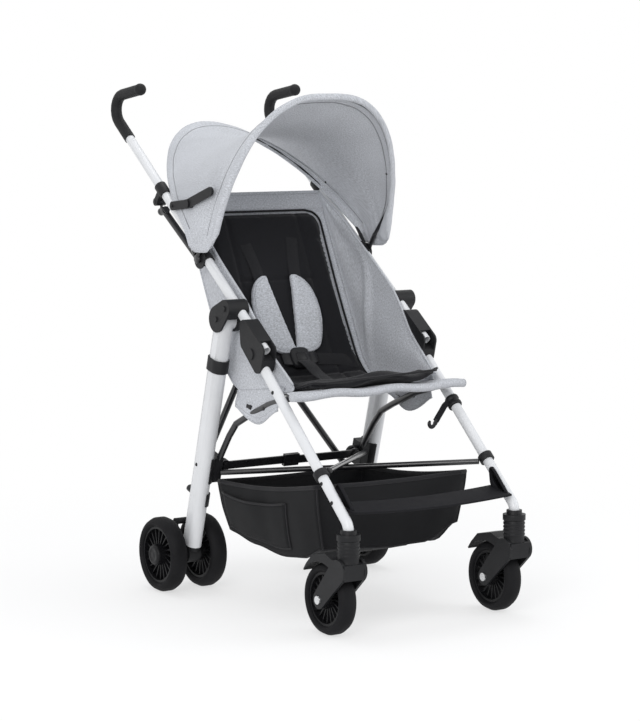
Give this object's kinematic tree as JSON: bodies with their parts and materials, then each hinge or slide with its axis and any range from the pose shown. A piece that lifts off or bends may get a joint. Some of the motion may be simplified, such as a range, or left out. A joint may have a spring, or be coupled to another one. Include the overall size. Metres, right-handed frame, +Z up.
{
  "type": "umbrella stroller",
  "caption": "Folding umbrella stroller with sling seat, canopy, basket, swivel front wheels and twin rear wheels.",
  "frame": {"origin": "on the floor under the middle of the stroller's bounding box", "axes": "+X to the pusher's left, -Y is the way the child faces, +Z up"},
  "size_m": [0.543, 0.8932, 1.0192],
  "materials": {
    "white_tube": "light powder coat",
    "grip": "fine moulded texture",
    "frame_plastic": "fine moulded texture",
    "tyre": "matt",
    "rim_plastic": "moulded",
    "zinc": "zinc plate",
    "black_tube": "satin black coat",
    "black_plastic": "satin",
    "grey_cloth": "melange weave",
    "black_cloth": "padded knit",
    "webbing": "woven strap",
    "basket_cloth": "plain weave"
  },
  "bodies": {
    "right_frame": {"right_push_tube": "white_tube", "right_handle_grip": "grip", "right_leg_bracket": "frame_plastic", "right_knuckle": "frame_plastic", "right_front_leg": "white_tube", "right_leg_fittings": "frame_plastic", "right_tube_clamps": "frame_plastic", "canopy_cover": "grey_cloth", "canopy_rear_bow": "black_plastic", "seat_sling": "grey_cloth", "seat_liner": "black_cloth", "shoulder_pads": "grey_cloth", "harness": "webbing", "buckle": "black_plastic", "basket": "basket_cloth", "basket_rods": "black_tube", "footrest": "black_plastic"},
    "left_frame": {"left_push_tube": "white_tube", "left_handle_grip": "grip", "left_leg_bracket": "frame_plastic", "left_knuckle": "frame_plastic", "left_front_leg": "white_tube", "left_leg_fittings": "frame_plastic", "left_tube_clamps": "frame_plastic", "fold_strap_hook": "webbing"},
    "right_caster": {"right_caster_fork": "frame_plastic", "right_front_axle": "zinc"},
    "right_front_wheel": {"right_front_tyre": "tyre", "right_front_rim": "rim_plastic"},
    "right_rear_leg": {"right_rear_leg": "white_tube", "right_hinge_bands": "frame_plastic", "right_wheel_housing": "frame_plastic", "right_rear_axle": "zinc", "right_seat_rail": "black_tube"},
    "right_rear_wheels": {"right_rear_tyres": "tyre", "right_rear_rims": "rim_plastic"},
    "right_brace_yoke": {"right_brace_yoke": "frame_plastic"},
    "right_brace_arm": {"right_brace_arm": "black_tube"},
    "right_strut_rear": {"right_strut_rear": "black_plastic"},
    "right_strut_front": {"right_strut_front": "black_plastic"},
    "right_brake_pedal": {"right_brake_pedal": "frame_plastic"},
    "right_lock_bar": {"right_lock_bar": "black_tube"},
    "left_caster": {"left_caster_fork": "frame_plastic", "left_front_axle": "zinc"},
    "left_front_wheel": {"left_front_tyre": "tyre", "left_front_rim": "rim_plastic"},
    "left_rear_leg": {"left_rear_leg": "white_tube", "left_hinge_bands": "frame_plastic", "left_wheel_housing": "frame_plastic", "left_rear_axle": "zinc", "left_seat_rail": "black_tube"},
    "left_rear_wheels": {"left_rear_tyres": "tyre", "left_rear_rims": "rim_plastic"},
    "left_brace_yoke": {"left_brace_yoke": "frame_plastic"},
    "left_brace_arm": {"left_brace_arm": "black_tube"},
    "left_strut_rear": {"left_strut_rear": "black_plastic"},
    "left_strut_front": {"left_strut_front": "black_plastic"},
    "left_brake_pedal": {"left_brake_pedal": "frame_plastic"},
    "left_lock_bar": {"left_lock_bar": "black_tube"},
    "canopy_front_bow": {"canopy_front_bow": "black_plastic"}
  },
  "joints": [
    {"name": "fold", "type": "hinge", "parent": "right_frame", "child": "right_rear_leg", "pos_m": [-0.203, -0.017, 0.561], "axis": [-1, 0, 0], "range_deg": [0, 31.7], "deforming": ["canopy_cover", "canopy_front_bow", "canopy_rear_bow", "seat_sling", "seat_liner", "shoulder_pads", "harness", "buckle", "basket", "basket_rods", "footrest"]},
    {"name": "left_frame_slide", "type": "slide", "parent": "right_frame", "child": "left_frame", "axis": [-1, 0, 0], "range_m": [0, 0.25]},
    {"name": "left_rear_leg_swing", "type": "hinge", "parent": "left_frame", "child": "left_rear_leg", "pos_m": [0.203, -0.017, 0.561], "axis": [-1, 0, 0], "range_deg": [0, 31.7]},
    {"name": "right_yoke_tilt", "type": "hinge", "parent": "right_frame", "child": "right_brace_yoke", "pos_m": [-0.185, 0.256, 0.779], "axis": [-1, 0, 0], "range_deg": [0, 16.71]},
    {"name": "right_brace_turn", "type": "hinge", "parent": "right_brace_yoke", "child": "right_brace_arm", "pos_m": [-0.185, 0.24321, 0.76143], "axis": [0, 0.9742, -0.2256], "range_deg": [0, 22.94]},
    {"name": "right_lock_bar_turn", "type": "hinge", "parent": "right_rear_leg", "child": "right_lock_bar", "pos_m": [-0.156, 0.06585, 0.2602], "axis": [0, -0.9641, -0.2656], "range_deg": [0, 78.55]},
    {"name": "right_swivel", "type": "hinge", "parent": "right_frame", "child": "right_caster", "pos_m": [-0.193, -0.428, 0.18], "axis": [0, 0, 1], "continuous": true},
    {"name": "right_front_wheel_spin", "type": "hinge", "parent": "right_caster", "child": "right_front_wheel", "pos_m": [-0.193, -0.369, 0.0675], "axis": [1, 0, 0], "continuous": true},
    {"name": "right_rear_wheel_spin", "type": "hinge", "parent": "right_rear_leg", "child": "right_rear_wheels", "pos_m": [-0.20325, 0.147, 0.075], "axis": [1, 0, 0], "continuous": true},
    {"name": "right_brake", "type": "hinge", "parent": "right_rear_leg", "child": "right_brake_pedal", "pos_m": [-0.20325, 0.144, 0.1395], "axis": [-1, 0, 0], "range_deg": [0, 22]},
    {"name": "left_yoke_tilt", "type": "hinge", "parent": "left_frame", "child": "left_brace_yoke", "pos_m": [0.185, 0.256, 0.779], "axis": [-1, 0, 0], "range_deg": [0, 16.71]},
    {"name": "left_brace_turn", "type": "hinge", "parent": "left_brace_yoke", "child": "left_brace_arm", "pos_m": [0.185, 0.25977, 0.7576], "axis": [0, -0.9742, 0.2256], "range_deg": [0, 22.94]},
    {"name": "left_lock_bar_turn", "type": "hinge", "parent": "left_rear_leg", "child": "left_lock_bar", "pos_m": [0.156, 0.06585, 0.2602], "axis": [0, 0.9641, 0.2656], "range_deg": [0, 78.55]},
    {"name": "left_swivel", "type": "hinge", "parent": "left_frame", "child": "left_caster", "pos_m": [0.193, -0.428, 0.18], "axis": [0, 0, 1], "continuous": true},
    {"name": "left_front_wheel_spin", "type": "hinge", "parent": "left_caster", "child": "left_front_wheel", "pos_m": [0.193, -0.369, 0.0675], "axis": [1, 0, 0], "continuous": true},
    {"name": "left_rear_wheel_spin", "type": "hinge", "parent": "left_rear_leg", "child": "left_rear_wheels", "pos_m": [0.20325, 0.147, 0.075], "axis": [1, 0, 0], "continuous": true},
    {"name": "left_brake", "type": "hinge", "parent": "left_rear_leg", "child": "left_brake_pedal", "pos_m": [0.20325, 0.144, 0.1395], "axis": [-1, 0, 0], "range_deg": [0, 22]},
    {"name": "canopy_fold", "type": "hinge", "parent": "right_frame", "child": "canopy_front_bow", "pos_m": [0, 0.078, 0.672], "axis": [-1, 0, 0], "range_deg": [0, 50]},
    {"name": "right_strut_rear_turn", "type": "hinge", "parent": "right_frame", "child": "right_strut_rear", "pos_m": [-0.2067, 0.172, 0.774], "axis": [1, 0, 0], "range_deg": [0, 64.3]},
    {"name": "right_strut_knee", "type": "hinge", "parent": "right_strut_rear", "child": "right_strut_front", "pos_m": [-0.21221, 0.104, 0.781], "axis": [1, 0, 0], "range_deg": [-141.98, 0]},
    {"name": "left_strut_rear_turn", "type": "hinge", "parent": "left_frame", "child": "left_strut_rear", "pos_m": [0.2067, 0.172, 0.774], "axis": [1, 0, 0], "range_deg": [0, 64.3]},
    {"name": "left_strut_knee", "type": "hinge", "parent": "left_strut_rear", "child": "left_strut_front", "pos_m": [0.21221, 0.104, 0.781], "axis": [1, 0, 0], "range_deg": [-141.98, 0]}
  ],
  "couplings": [
    {"joint": "left_frame_slide", "follows": "fold", "m_per_rad": 0.45186},
    {"joint": "left_rear_leg_swing", "follows": "fold", "ratio": 1},
    {"joint": "right_yoke_tilt", "follows": "fold", "ratio": 0.52691},
    {"joint": "right_brace_turn", "follows": "fold", "ratio": 0.72337},
    {"joint": "right_lock_bar_turn", "follows": "fold", "ratio": 2.4775},
    {"joint": "left_yoke_tilt", "follows": "fold", "ratio": 0.52691},
    {"joint": "left_brace_turn", "follows": "fold", "ratio": 0.72337},
    {"joint": "left_lock_bar_turn", "follows": "fold", "ratio": 2.4775},
    {"joint": "right_strut_rear_turn", "follows": "canopy_fold", "ratio": 1.2848},
    {"joint": "right_strut_knee", "follows": "canopy_fold", "ratio": -2.8368},
    {"joint": "left_strut_rear_turn", "follows": "canopy_fold", "ratio": 1.2848},
    {"joint": "left_strut_knee", "follows": "canopy_fold", "ratio": -2.8368}
  ]
}
